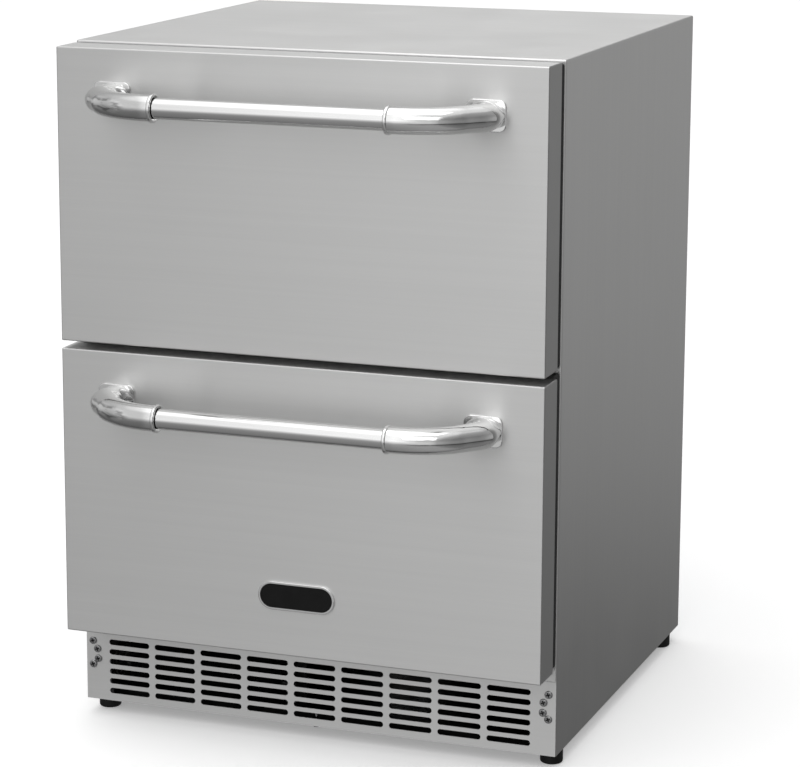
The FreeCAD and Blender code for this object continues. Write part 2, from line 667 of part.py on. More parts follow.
def serpentine(x, rows, columns, radius):
    """One tube back and forth along x through a grid of (z, y) rows and columns."""
    route = [(columns[0], z) for z in rows] + [(columns[1], z) for z in reversed(rows)]
    points = []
    for index, (y, z) in enumerate(route):
        ends = x if index % 2 == 0 else (x[1], x[0])
        points += [V(ends[0], y, z), V(ends[1], y, z)]
    return tube(points, radius, abs(rows[1] - rows[0]) / 2 - 0.001)


def fin_pack(x, y, z, count, rows, columns, radius):
    """Thin plates threaded on a serpentine tube."""
    step = (x[1] - x[0]) / (count - 1)
    holes = [rod(radius + 0.1, x[1] - x[0] + 10, V(x[0] - 5, column, row), X_AXIS)
             for row in rows for column in columns]
    plates = [box((x[0] + step * k, x[0] + step * k + 0.5), y, z).cut(holes) for k in range(count)]
    return Part.makeCompound(plates)


def condenser_coil():
    """Condenser tube behind the grille."""
    return serpentine(CONDENSER_X, CONDENSER_ROWS, CONDENSER_COLUMNS, TUBE_RADIUS)


def condenser_fins():
    """Condenser fins."""
    return fin_pack((-252, -54), (80, 112), (35, 105), 26, CONDENSER_ROWS, CONDENSER_COLUMNS, TUBE_RADIUS)


def evaporator_coil():
    """Evaporator tube at the back of the cold space."""
    return serpentine(EVAPORATOR_X, EVAPORATOR_ROWS, EVAPORATOR_COLUMNS, TUBE_RADIUS)


def evaporator_fins():
    """Evaporator fins."""
    return fin_pack((-186, 186), (494, 544), (543, 647), 24, EVAPORATOR_ROWS, EVAPORATOR_COLUMNS, TUBE_RADIUS)


def condenser_fan_shroud():
    """Plate and ring that lead air from the condenser into its fan."""
    plate = box((-268, -34), (116, 118), (24.6, 112))
    ring = rod(43.5, 18, V(FAN_X, 118, FAN_Z), Y_AXIS)
    opening = rod(42.0, 30, V(FAN_X, 110, FAN_Z), Y_AXIS)
    return plate.fuse(ring).cut(opening)


def fan_motor(centre, radius, length, arm_reach, arm_y):
    """Small motor held by three arms; its shaft bore faces the front."""
    body = rod(radius, length, centre, Y_AXIS)
    body = round_where(body, 3.0, lambda c: c.y > centre.y + length - 0.1)
    arms = []
    for angle in (90, 210, 330):
        bar = centred_box(V(arm_reach / 2 + radius / 2 - 2, 0, 0), (arm_reach - radius + 4, 3, 6))
        post = box((arm_reach - 3, arm_reach), (arm_y - centre.y - 3, 1.5), (-3, 3))
        arm = bar.fuse(post)
        arm.rotate(V(0, 0, 0), Y_AXIS, angle)
        arm.translate(centre + V(0, 3, 0))
        arms.append(arm)
    return body.fuse(arms).cut(rod(2.55, 16, centre - V(0, 1, 0), Y_AXIS))


def condenser_fan_motor():
    """Motor of the condenser fan."""
    return fan_motor(V(FAN_X, 142, FAN_Z), 22, 34, 42.0, 136.0)


def evaporator_fan_motor():
    """Motor of the evaporator fan."""
    return fan_motor(V(0, 508, EVAPORATOR_FAN_Z), 20, 26, 48.0, 482.0)


def fan_blades(centre, tip_radius, width, shaft_length):
    """Five pitched blades on a hub, with the shaft that enters the motor."""
    hub = round_where(rod(13, width, V(0, 0, 0), Y_AXIS), 2.0, lambda c: c.y < 0.1)
    shaft = rod(2.5, shaft_length, V(0, width, 0), Y_AXIS)
    disc = rod(tip_radius, width, V(0, 0, 0), Y_AXIS)
    blades = []
    for k in range(5):
        blade = box((-14, 14), (width / 2 - 0.6, width / 2 + 0.6), (10, tip_radius + 5))
        blade.rotate(V(0, width / 2, 0), Z_AXIS, 24)
        blade.rotate(V(0, 0, 0), Y_AXIS, 72 * k)
        blades.append(blade.common(disc))
    fan = hub.fuse(blades + [shaft])
    fan.translate(centre)
    return fan.removeSplitter()


def filter_drier():
    """Swaged copper capsule in the liquid line."""
    profile = [(0, 0), (3.4, 0), (3.4, 6), (9, 14), (9, 66), (3.4, 74), (3.4, 80), (0, 80)]
    return revolve_z(profile, V(-60, 560, 66))


def suction_line(extra):
    """Tube from the evaporator down to the compressor, with an extra radius."""
    points = [V(200, 506, 556), V(222, 506, 556), V(222, 585, 556), V(222, 585, 130), V(222, 545, 130),
              V(178, 545, 130)]
    return tube(points, TUBE_RADIUS + extra, 9)


def capillary_tube(extra):
    """Thin tube from the drier up to the evaporator, with an extra radius."""
    points = [V(-60, 560, 66), V(-60, 560, 46), V(-110, 560, 46), V(-110, 592, 46), V(-240, 592, 46),
              V(-240, 592, 690), V(-240, 532, 690), V(-240, 532, 556), V(-200, 532, 556)]
    return tube(points, CAPILLARY_RADIUS + extra, 6)


def riser_lines(extra):
    """Cutters for the two refrigerant tubes that rise through the insulation."""
    suction = tube([V(222, 520, 556), V(222, 585, 556), V(222, 585, 140)], TUBE_RADIUS + extra, 9)
    capillary = tube([V(-240, 592, 60), V(-240, 592, 690), V(-240, 540, 690)], CAPILLARY_RADIUS + extra, 6)
    return [suction, capillary]


def refrigerant_lines():
    """Discharge, liquid, suction and capillary tubes."""
    discharge = tube([V(11.8, 500, 150), V(-30, 500, 150), V(-30, 500, 80), V(-275, 500, 80),
                      V(-275, 87, 80), V(-275, 87, 43), V(-262, 87, 43)], TUBE_RADIUS, 9)
    liquid = tube([V(-262, 105, 43), V(-275, 105, 43), V(-275, 530, 43), V(-275, 530, 170),
                   V(-60, 530, 170), V(-60, 560, 170), V(-60, 560, 146)], TUBE_RADIUS, 9)
    return Part.makeCompound([discharge, liquid, suction_line(0), capillary_tube(0)])


def drain_tube(extra):
    """Tube that leads melt water from the evaporator to the tray on the compressor."""
    return tube([V(120, 540, 527), V(120, 585, 520), V(120, 585, 200)], 6 + extra, 14)


def condensate_drain():
    """Gutter under the evaporator, its drain tube, and the tray on the compressor."""
    gutter = box((-205, 205), (492, 548), (522, 536)).cut(box((-203, 203), (494, 546), (524, 540)))
    tray = round_along(box((30, 170), (455, 600), (194, 206)), 10, Z_AXIS)
    tray = tray.cut(round_along(box((32, 168), (457, 598), (196, 210)), 8, Z_AXIS))
    return Part.makeCompound([gutter.cut(drain_tube(0.2)), drain_tube(0), tray])


def evaporator_cover():
    """Sheet in front of the evaporator, with a fan guard and intake slots."""
    cover = box((-258, 258), (480, 482), (506, 786))
    guard_centre = V(0, 479, EVAPORATOR_FAN_Z)
    opening = rod(46, 5, guard_centre, Y_AXIS)
    rings = [rod(r, 1.6, V(0, 480.2, EVAPORATOR_FAN_Z), Y_AXIS).cut(rod(r - 2, 5, guard_centre, Y_AXIS))
             for r in (14, 25, 36)]
    spokes = [centred_box(V(0, 481, EVAPORATOR_FAN_Z), (93, 1.6, 3)) for _ in range(3)]
    for k, spoke in enumerate(spokes):
        spoke.rotate(V(0, 481, EVAPORATOR_FAN_Z), Y_AXIS, 60 * k)
    slots = [obround((60, 5), 5, V(x, 478, z)) for x in (-160, -80, 0, 80, 160) for z in range(525, 580, 12)]
    return cover.cut([opening] + slots).fuse(rings + spokes).removeSplitter()


# ---------------------------------------------------------------- controls and electrics
def control_housing():
    """Box on the ceiling of the cold space that holds the thermostat."""
    housing = box((120, 230), (KNOB_CENTRE.y, 190), (762, 789.7))
    housing = round_where(housing, 3.0, lambda c: c.z < 763 or (c.z < 789 and (c.x < 121 or c.x > 229)))
    return housing.cut(rod(3.05, 10, KNOB_CENTRE - V(0, 1, 0), Y_AXIS))


def thermostat_knob():
    """Knob with a grip bar and a shaft that enters the housing."""
    face = KNOB_CENTRE - V(0, 3.6, 0)
    disc = rod(11, 3, face, Y_AXIS)
    grip = round_along(centred_box(face - V(0, 4, 0), (5, 8.2, 20)), 2.2, Y_AXIS)
    shaft = rod(3.0, 11, face + V(0, 1, 0), Y_AXIS)
    return disc.fuse([grip, shaft]).removeSplitter()


def led_lamp():
    """Strip lamp on the ceiling of the cold space."""
    lamp = box((-70, 70), (104, 122), (781, 789.7))
    return round_where(lamp, 3.0, lambda c: c.z < 782)


def power_inlet():
    """Appliance inlet in the service cover: moulded body with three pins."""
    face = SERVICE_COVER_BACK
    flange = round_along(box((-240, -160), (face, face + 2), (53, 87)), 4, Y_AXIS)
    body = box((-228, -172), (590, face), (56, 84))
    recess = round_along(box((-223, -177), (594, face + 3), (60, 80)), 3, Y_AXIS)
    pins = [box((x - 1, x + 1), (592, face - 1), (z - 2.5, z + 2.5))
            for x, z in ((-210, 68), (-200, 73), (-190, 68))]
    return flange.fuse(body).cut(recess).fuse(pins).removeSplitter()


# ---------------------------------------------------------------- assembly
def drawer_nodes(name, z0, gasket_z, plug_z, slide_z, bin_shape):
    """All the pieces that travel with one drawer."""
    handle_z = z0 + FRONT_HEIGHT - HANDLE_DROP
    return {
        name + "_drawer_skin": drawer_skin(z0),
        name + "_drawer_foam": drawer_foam(z0, plug_z),
        name + "_inner_panel": inner_panel(gasket_z, plug_z),
        name + "_gasket": gasket(gasket_z),
        name + "_bin": bin_shape,
        name + "_slide_inner_members": Part.makeCompound(both_sides(slide_inner(slide_z))),
        name + "_handle_bar": handle_bar(handle_z),
        name + "_handle_elbows": handle_elbows(handle_z),
        name + "_handle_bolts": handle_bolts(handle_z),
        name + "_slide_middle_right": slide_middle(slide_z),
        name + "_slide_middle_left": mirrored(slide_middle(slide_z)),
    }


def cabinet_nodes():
    """The pieces that make the cabinet and its two drawers' fixed slides."""
    outer_members = both_sides(slide_outer(UPPER_SLIDE_Z)) + both_sides(slide_outer(LOWER_SLIDE_Z))
    return {
        "outer_wrapper": outer_wrapper(),
        "rear_panel": rear_panel(),
        "service_cover": service_cover(),
        "base_pan": base_pan(),
        "compartment_divider": compartment_divider(),
        "insulation_foam": insulation_foam(),
        "inner_liner": inner_liner(),
        "front_mullion": front_mullion(),
        "lower_front_rail": lower_front_rail(),
        "front_grille": front_grille(),
        "cabinet_fasteners": cabinet_fasteners(),
        "slide_outer_members": Part.makeCompound(outer_members),
        "control_housing": control_housing(),
        "thermostat_knob": thermostat_knob(),
        "led_lamp": led_lamp(),
        "power_inlet": power_inlet(),
        "badge_rim": badge_rim(),
        "badge_plate": badge_plate(),
    }


def refrigeration_nodes():
    """The sealed system and its fans."""
    return {
        "compressor": compressor(),
        "compressor_grommets": compressor_grommets(),
        "compressor_terminal_cover": terminal_cover(),
        "condenser_coil": condenser_coil(),
        "condenser_fins": condenser_fins(),
        "condenser_fan_shroud": condenser_fan_shroud(),
        "condenser_fan_motor": condenser_fan_motor(),
        "condenser_fan_blades": fan_blades(V(FAN_X, 121, FAN_Z), 40, 14, 18),
        "filter_drier": filter_drier(),
        "refrigerant_lines": refrigerant_lines(),
        "condensate_drain": condensate_drain(),
        "evaporator_coil": evaporator_coil(),
        "evaporator_fins": evaporator_fins(),
        "evaporator_cover": evaporator_cover(),
        "evaporator_fan_motor": evaporator_fan_motor(),
        "evaporator_fan_blades": fan_blades(V(0, 486, EVAPORATOR_FAN_Z), 43, 14, 18),
    }


def export_nodes(nodes):
    """Move every piece to the part's own origin and write one STEP file each."""
    os.makedirs("parts", exist_ok=True)
    for name, shape in nodes.items():
        placed = shape.copy()
        placed.translate(V(0, -ORIGIN_Y, -FLOOR_Z))
        placed.exportStep("parts/%s.step" % name)


def main():
    nodes = cabinet_nodes()
    nodes.update(refrigeration_nodes())
    nodes.update({name: levelling_foot(place) for name, place in foot_places().items()})
    nodes.update(drawer_nodes("upper", UPPER_FRONT_Z, UPPER_GASKET_Z, (511, 783), UPPER_SLIDE_Z, upper_bin()))
    nodes.update(drawer_nodes("lower", LOWER_FRONT_Z, LOWER_GASKET_Z, (157, 448), LOWER_SLIDE_Z, lower_bin()))
    export_nodes(nodes)
    return nodes


main()
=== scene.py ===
import math

import bmesh
import bpy
from mathutils import Matrix, Vector


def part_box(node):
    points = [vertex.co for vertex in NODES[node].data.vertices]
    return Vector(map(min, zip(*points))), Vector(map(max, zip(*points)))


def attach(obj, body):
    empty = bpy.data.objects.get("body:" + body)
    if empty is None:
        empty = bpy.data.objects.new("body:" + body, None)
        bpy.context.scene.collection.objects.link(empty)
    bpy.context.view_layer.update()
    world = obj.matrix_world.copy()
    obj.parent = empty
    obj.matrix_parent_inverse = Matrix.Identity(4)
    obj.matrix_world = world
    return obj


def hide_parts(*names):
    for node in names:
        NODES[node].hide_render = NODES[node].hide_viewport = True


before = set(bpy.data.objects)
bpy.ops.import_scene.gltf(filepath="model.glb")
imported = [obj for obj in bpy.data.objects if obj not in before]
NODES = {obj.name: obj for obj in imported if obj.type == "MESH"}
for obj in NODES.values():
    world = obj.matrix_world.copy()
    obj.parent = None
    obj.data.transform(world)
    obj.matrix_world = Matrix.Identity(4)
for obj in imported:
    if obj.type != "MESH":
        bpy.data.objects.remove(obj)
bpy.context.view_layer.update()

# An under counter refrigerator with two drawers. Metres, +Z up, front towards -Y.
MM = 0.001

FOOT_RADIUS = 13.5 * MM
FOOT_HEIGHT = 17.0 * MM
BIN_CORNER = 10.0 * MM
# where the lower bin's raised rear floor starts, along Y, and its height
LOWER_BIN_STEP = (80.15 * MM, 258.5 * MM)
# distance from the middle, and height, of the screws at each end of the grille
GRILLE_SCREWS = ((290.7 * MM, 92.8 * MM), (284.8 * MM, 82.8 * MM), (284.0 * MM, 70.5 * MM),
                 (290.7 * MM, 63.0 * MM))
SCREW_HEAD_DEPTH = 1.2 * MM


# ---------------------------------------------------------------- material helper
class Finish:
    """A node material built around one Principled shader."""

    def __init__(self, name, colour, roughness, metallic=0.0):
        self.material = bpy.data.materials.new(name)
        self.material.use_nodes = True
        self.tree = self.material.node_tree
        self.shader = self.tree.nodes["Principled BSDF"]
        self.set("Base Color", (*colour, 1.0))
        self.set("Roughness", roughness)
        self.set("Metallic", metallic)
        self.place = self.tree.nodes.new("ShaderNodeTexCoord").outputs["Object"]

    def set(self, socket, value):
        """Set one of the shader's own sockets."""
        self.shader.inputs[socket].default_value = value

    def feed(self, socket, source):
        """Drive one of the shader's sockets from a node."""
        self.tree.links.new(source, self.shader.inputs[socket])

    def stretched(self, scale):
        """Object coordinates scaled by a different amount along each axis."""
        mapping = self.tree.nodes.new("ShaderNodeMapping")
        mapping.inputs["Scale"].default_value = scale
        self.tree.links.new(self.place, mapping.inputs["Vector"])
        return mapping.outputs["Vector"]

    def noise(self, scale, detail=3.0, rough=0.5, distortion=0.0):
        """Noise from 0 to 1. The scale is one number or one for each axis, in cycles per metre."""
        texture = self.tree.nodes.new("ShaderNodeTexNoise")
        texture.inputs["Detail"].default_value = detail
        texture.inputs["Roughness"].default_value = rough
        texture.inputs["Distortion"].default_value = distortion
        scale = scale if isinstance(scale, tuple) else (scale, scale, scale)
        texture.inputs["Scale"].default_value = 1.0
        self.tree.links.new(self.stretched(scale), texture.inputs["Vector"])
        return texture.outputs["Fac"]

    def cells(self, scale, feature="F1", output="Distance"):
        """Voronoi cells, for spangle, foam and fibres."""
        texture = self.tree.nodes.new("ShaderNodeTexVoronoi")
        texture.feature = feature
        texture.inputs["Scale"].default_value = 1.0
        scale = scale if isinstance(scale, tuple) else (scale, scale, scale)
        self.tree.links.new(self.stretched(scale), texture.inputs["Vector"])
        return texture.outputs[output]

    def remap(self, source, low, high, start=0.3, end=0.7):
        """Map a texture's middle range onto the range from low to high."""
        ranged = self.tree.nodes.new("ShaderNodeMapRange")
        ranged.inputs["From Min"].default_value = start
        ranged.inputs["From Max"].default_value = end
        ranged.inputs["To Min"].default_value = low
        ranged.inputs["To Max"].default_value = high
        self.tree.links.new(source, ranged.inputs["Value"])
        return ranged.outputs["Result"]

    def combine(self, operation, first, second):
        """One arithmetic step between two textures, or a texture and a number."""
        node = self.tree.nodes.new("ShaderNodeMath")
        node.operation = operation
        for index, value in enumerate((first, second)):
            if isinstance(value, (int, float)):
                node.inputs[index].default_value = value
            else:
                self.tree.links.new(value, node.inputs[index])
        return node.outputs["Value"]

    def average(self, first, second):
        """Halfway between two textures."""
        return self.combine("MULTIPLY", self.combine("ADD", first, second), 0.5)

    def tint(self, source, dark, light):
        """A colour between two others, led by a texture."""
        mix = self.tree.nodes.new("ShaderNodeMix")
        mix.data_type = "RGBA"
        colours = [s for s in mix.inputs if s.type == "RGBA"]
        colours[0].default_value = (*dark, 1.0)
        colours[1].default_value = (*light, 1.0)
        self.tree.links.new(source, mix.inputs["Factor"])
        return [s for s in mix.outputs if s.type == "RGBA"][0]

    def paint_side_shade(self, colour, amount):
        """Painted shade: darken the faces that look left or right, by how far they face sideways."""
        split = self.tree.nodes.new("ShaderNodeSeparateXYZ")
        normal = self.tree.nodes.new("ShaderNodeTexCoord").outputs["Normal"]
        self.tree.links.new(normal, split.inputs["Vector"])
        sideways = self.combine("ABSOLUTE", split.outputs["X"], 0.0)
        shade = self.tree.nodes.new("ShaderNodeVectorMath")
        shade.operation = "SCALE"
        self.tree.links.new(colour, shade.inputs["Vector"])
        self.tree.links.new(self.remap(sideways, 1.0, amount, 0.5, 0.9), shade.inputs["Scale"])
        return shade.outputs["Vector"]

    def relief(self, height, depth, strength=1.0):
        """Bump from a height texture, with its depth in metres."""
        bump = self.tree.nodes.new("ShaderNodeBump")
        bump.inputs["Strength"].default_value = strength
        bump.inputs["Distance"].default_value = depth
        self.tree.links.new(height, bump.inputs["Height"])
        self.feed("Normal", bump.outputs["Normal"])

    def brushed_across(self, amount, direction):
        """Stretch reflections along a direction, at right angles to the brush lines."""
        self.set("Anisotropic", amount)
        axis = self.tree.nodes.new("ShaderNodeCombineXYZ")
        for index, value in enumerate(direction):
            axis.inputs[index].default_value = value
        self.feed("Tangent", axis.outputs["Vector"])


# ---------------------------------------------------------------- materials
def brushed_steel(name, grain, across, colour, roughness=(0.35, 0.42), side_shade=1.0):
    """Stainless sheet with fine brush lines, with painted shade that makes the faces looking left or right
    darker by a factor.

    The grain gives cycles per metre on each axis. Across is the direction at right angles to it."""
    finish = Finish(name, colour, roughness[0], 1.0)
    lines = finish.noise(grain, 4.0, 0.6)
    coarse = finish.noise(tuple(value / 6 for value in grain), 2.0)
    cloud = finish.noise(9.0, 3.0, 0.55, 0.4)
    dark = tuple(value * 0.95 for value in colour)
    light = tuple(min(1.0, value * 1.05) for value in colour)
    mottle = finish.tint(finish.average(lines, coarse), dark, light)
    # painted shade on the faces that look left or right
    finish.feed("Base Color", finish.paint_side_shade(mottle, side_shade))
    finish.feed("Roughness", finish.remap(finish.average(lines, cloud), *roughness))
    finish.relief(lines, 0.00002, 0.35)
    finish.brushed_across(0.75, across)
    return finish.material


def polished_steel():
    """Bright drawn tube and castings, with faint wipe marks."""
    finish = Finish("polished_steel", (0.80, 0.80, 0.80), 0.08, 1.0)
    smudge = finish.noise(38.0, 4.0, 0.6, 0.8)
    hairline = finish.noise((30.0, 1400.0, 1400.0), 2.0)
    finish.feed("Roughness", finish.remap(smudge, 0.06, 0.13))
    finish.feed("Base Color", finish.tint(hairline, (0.76, 0.76, 0.76), (0.84, 0.84, 0.835)))
    finish.relief(smudge, 0.00002, 0.04)
    return finish.material


def bin_steel():
    """Bright rolled sheet of the drawer bins."""
    grain, across = (420.0, 6.0, 420.0), (1.0, 0.02, 0.1)
    return brushed_steel("bin_steel", grain, across, (0.66, 0.66, 0.66), (0.24, 0.34))


def galvanised_steel():
    """Zinc-dipped sheet with its spangle."""
    finish = Finish("galvanised_steel", (0.50, 0.52, 0.54), 0.42, 0.9)
    spangle = finish.cells(75.0, "F1", "Color")
    shade = finish.noise(45.0, 3.0)
    finish.feed("Base Color", finish.tint(finish.combine("MULTIPLY", spangle, shade),
                                          (0.42, 0.44, 0.46), (0.62, 0.64, 0.66)))
    finish.feed("Roughness", finish.remap(spangle, 0.34, 0.50, 0.1, 0.9))
    finish.relief(shade, 0.0001, 0.15)
    return finish.material


def zinc_plate():
    """Zinc-plated slides and fasteners."""
    finish = Finish("zinc_plate", (0.62, 0.63, 0.64), 0.30, 1.0)
    wear = finish.noise(160.0, 4.0, 0.6)
    scratch = finish.noise((900.0, 12.0, 900.0), 2.0)
    finish.feed("Roughness", finish.remap(wear, 0.22, 0.42))
    marks = finish.average(wear, scratch)
    finish.feed("Base Color", finish.tint(marks, (0.52, 0.53, 0.55), (0.72, 0.73, 0.73)))
    finish.relief(scratch, 0.00003, 0.2)
    return finish.material


def screw_steel():
    """Plated screw heads with light wear."""
    finish = Finish("screw_steel", (0.36, 0.36, 0.37), 0.13, 1.0)
    wear = finish.noise(420.0, 3.0, 0.6)
    finish.feed("Base Color", finish.tint(wear, (0.26, 0.26, 0.27), (0.44, 0.44, 0.44)))
    finish.feed("Roughness", finish.remap(wear, 0.09, 0.18))
    finish.relief(wear, 0.00003, 0.2)
    return finish.material


def white_plastic():
    """Vacuum-formed liner plastic with a faint orange peel."""
    finish = Finish("white_plastic", (0.80, 0.81, 0.80), 0.34)
    peel = finish.noise(420.0, 2.0)
    cloud = finish.noise(7.0, 3.0)
    finish.feed("Base Color", finish.tint(cloud, (0.77, 0.78, 0.77), (0.83, 0.84, 0.83)))
    finish.feed("Roughness", finish.remap(peel, 0.28, 0.40))
    finish.relief(peel, 0.00008, 0.25)
    return finish.material


def black_plastic():
    """Moulded black plastic with a spark-eroded grain."""
    finish = Finish("black_plastic", (0.006, 0.006, 0.006), 0.5)
    finish.set("Specular IOR Level", 0.22)
    grain = finish.noise(1300.0, 3.0, 0.6)
    dust = finish.noise(60.0, 4.0, 0.6)
    finish.feed("Base Color", finish.tint(dust, (0.004, 0.004, 0.004), (0.010, 0.010, 0.010)))
    finish.feed("Roughness", finish.remap(grain, 0.42, 0.62))
    finish.relief(grain, 0.00006, 0.5)
    return finish.material


def seal_rubber():
    """Soft black seal, slightly dusty in its folds."""
    finish = Finish("seal_rubber", (0.010, 0.010, 0.011), 0.55)
    bloom = finish.noise(90.0, 4.0, 0.6)
    pores = finish.noise(1500.0, 2.0)
    finish.feed("Base Color", finish.tint(bloom, (0.007, 0.007, 0.008), (0.022, 0.022, 0.022)))
    finish.feed("Roughness", finish.remap(bloom, 0.46, 0.64))
    finish.relief(pores, 0.00005, 0.4)
    return finish.material


def insulating_foam():
    """Rigid foam with fine cells."""
    finish = Finish("insulating_foam", (0.78, 0.69, 0.45), 0.9)
    cells = finish.cells(700.0)
    cloud = finish.noise(20.0, 3.0)
    finish.feed("Base Color", finish.tint(cloud, (0.70, 0.60, 0.36), (0.82, 0.74, 0.52)))
    finish.feed("Roughness", finish.remap(cells, 0.8, 0.95, 0.0, 1.0))
    finish.relief(cells, 0.0004, 0.6)
    return finish.material


def copper():
    """Drawn copper tube, a little tarnished."""
    finish = Finish("copper", (0.72, 0.36, 0.22), 0.28, 1.0)
    tarnish = finish.noise(55.0, 5.0, 0.65)
    finish.feed("Base Color", finish.tint(tarnish, (0.42, 0.20, 0.12), (0.86, 0.46, 0.30)))
    finish.feed("Roughness", finish.remap(tarnish, 0.20, 0.45))
    finish.relief(tarnish, 0.0001, 0.2)
    return finish.material


def fin_aluminium():
    """Thin heat exchanger fins with light wear."""
    finish = Finish("fin_aluminium", (0.70, 0.71, 0.72), 0.34, 1.0)
    roll = finish.noise((20.0, 700.0, 20.0), 2.0)
    dust = finish.noise(70.0, 4.0)
    finish.feed("Base Color", finish.tint(dust, (0.56, 0.57, 0.58), (0.78, 0.79, 0.80)))
    finish.feed("Roughness", finish.remap(dust, 0.28, 0.46))
    finish.relief(roll, 0.00005, 0.3)
    return finish.material


def black_paint():
    """Semi-gloss black enamel of the compressor and of what stands around it; on the refrigerant lines, the
    compartment divider and the grille screw recess crosses it is painted shade.
    """
    finish = Finish("black_paint", (0.006, 0.006, 0.006), 0.28)
    finish.set("Specular IOR Level", 0.25)
    peel = finish.noise(260.0, 2.0)
    dust = finish.noise(35.0, 4.0, 0.6)
    finish.feed("Base Color", finish.tint(dust, (0.004, 0.004, 0.004), (0.012, 0.012, 0.011)))
    finish.feed("Roughness", finish.remap(dust, 0.22, 0.42))
    finish.relief(peel, 0.0001, 0.3)
    return finish.material


def lamp_lens():
    """Frosted lens of the strip lamp."""
    finish = Finish("lamp_lens", (0.90, 0.91, 0.92), 0.35)
    frost = finish.noise(900.0, 2.0)
    flutes = finish.noise((260.0, 4.0, 4.0), 0.0)
    finish.feed("Base Color", finish.tint(flutes, (0.84, 0.85, 0.87), (0.95, 0.96, 0.96)))
    finish.feed("Roughness", finish.remap(frost, 0.28, 0.45))
    finish.relief(flutes, 0.0003, 0.4)
    return finish.material


def badge_black():
    """Glossy dark face of the badge."""
    finish = Finish("badge_black", (0.004, 0.004, 0.004), 0.16)
    finish.set("Specular IOR Level", 0.2)
    wipe = finish.noise(70.0, 4.0, 0.6)
    finish.feed("Base Color", finish.tint(wipe, (0.003, 0.003, 0.003), (0.006, 0.006, 0.006)))
    finish.feed("Roughness", finish.remap(wipe, 0.12, 0.24))
    finish.relief(wipe, 0.00004, 0.1)
    return finish.material


STEEL = (0.72, 0.72, 0.715)
MATERIALS = {
    # the drawer steel, grille, mullion and rail carry painted shade on their sideways faces, at 0.56
    "drawer_steel": brushed_steel("drawer_steel", (5.0, 800.0, 800.0), (0.0, 0.05, 1.0), STEEL, side_shade=0.56),
    "wrapper_steel": brushed_steel("wrapper_steel", (5.0, 800.0, 5.0), (0.0, 1.0, 0.02), STEEL),
    "polished_steel": polished_steel(),
    "bin_steel": bin_steel(),
    "galvanised_steel": galvanised_steel(),
    "zinc_plate": zinc_plate(),
    "screw_steel": screw_steel(),
    "white_plastic": white_plastic(),
    "black_plastic": black_plastic(),
    "seal_rubber": seal_rubber(),
    "insulating_foam": insulating_foam(),
    "copper": copper(),
    "fin_aluminium": fin_aluminium(),
    "black_paint": black_paint(),
    "lamp_lens": lamp_lens(),
    "badge_black": badge_black(),
}

# the finish that each CAD node carries
NODE_FINISH = {
    "drawer_steel": ["upper_drawer_skin", "lower_drawer_skin", "front_grille", "front_mullion",
                     "lower_front_rail"],
    "wrapper_steel": ["outer_wrapper"],
    "bin_steel": ["upper_bin", "lower_bin"],
    "polished_steel": ["upper_handle_bar", "lower_handle_bar", "upper_handle_elbows", "lower_handle_elbows",
                       "badge_rim"],
    "galvanised_steel": ["rear_panel", "service_cover"],
    "screw_steel": ["cabinet_fasteners"],
    "white_plastic": ["inner_liner", "upper_inner_panel", "lower_inner_panel", "control_housing",
                      "evaporator_cover", "condensate_drain"],
    "black_plastic": ["power_inlet", "compressor_terminal_cover", "condenser_fan_blades",
                      "evaporator_fan_blades", "thermostat_knob", "condenser_fan_motor",
                      "evaporator_fan_motor", "foot_front_left", "foot_front_right", "foot_rear_left",
                      "foot_rear_right"],
    "seal_rubber": ["upper_gasket", "lower_gasket", "compressor_grommets"],
    "insulating_foam": ["insulation_foam", "upper_drawer_foam", "lower_drawer_foam"],
    "copper": ["evaporator_coil", "filter_drier"],
    "fin_aluminium": ["evaporator_fins"],
    # the refrigerant lines are copper and the compartment divider galvanised; their black here is painted
    # shade that darkens what shows through the grille slots
    "black_paint": ["compressor", "base_pan", "compartment_divider", "refrigerant_lines",
                    "condenser_fan_shroud", "condenser_coil", "condenser_fins"],
    "lamp_lens": ["led_lamp"],
    "badge_black": ["badge_plate"],
}


def finish_nodes():
    """Give every CAD node its finish; what isn't listed is plated."""
    finish_of = {node: finish for finish, nodes in NODE_FINISH.items() for node in nodes}
    for name, node in NODES.items():
        material = MATERIALS[finish_of.get(name, "zinc_plate")]
        for material_slot in node.material_slots:
            material_slot.material = material


# ---------------------------------------------------------------- mesh helpers
def mesh_piece(name, vertices, faces, finish, body, smooth_below=35.0):
    """A new piece from vertices and faces; edges sharper than an angle stay crisp."""
    mesh = bpy.data.meshes.new(name)
    mesh.from_pydata([tuple(v) for v in vertices], [], faces)
    made = bmesh.new()
    made.from_mesh(mesh)
    bmesh.ops.recalc_face_normals(made, faces=made.faces)
    return finished_piece(name, made, mesh, finish, body, smooth_below)


def finished_piece(name, made, mesh, finish, body, smooth_below=35.0):
    """Write a bmesh to a mesh, shade it, link it and let it ride on a body."""
    limit = math.radians(smooth_below)
    for face in made.faces:
        face.smooth = True
    for edge in made.edges:
        edge.smooth = len(edge.link_faces) == 2 and edge.calc_face_angle(math.pi) < limit
    made.to_mesh(mesh)
    made.free()
    mesh.materials.append(MATERIALS[finish])
    piece = bpy.data.objects.new(name, mesh)
    bpy.context.scene.collection.objects.link(piece)
    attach(piece, body)
    return piece


def lathe(profile, centre, steps=64):
    """Vertices and faces of (radius, height) points turned about a vertical axis."""
    vertices = []
    for radius, height in profile:
        for k in range(steps):
            angle = math.tau * k / steps
            vertices.append((centre.x + radius * math.cos(angle), centre.y + radius * math.sin(angle),
                             centre.z + height))
    faces = []
    for row in range(len(profile) - 1):
        for k in range(steps):
            nearby = (k + 1) % steps
            faces.append((row * steps + k, row * steps + nearby, (row + 1) * steps + nearby,
                          (row + 1) * steps + k))
    faces.append(tuple(range(steps))[::-1])
    faces.append(tuple(range((len(profile) - 1) * steps, len(profile) * steps)))
    return vertices, faces


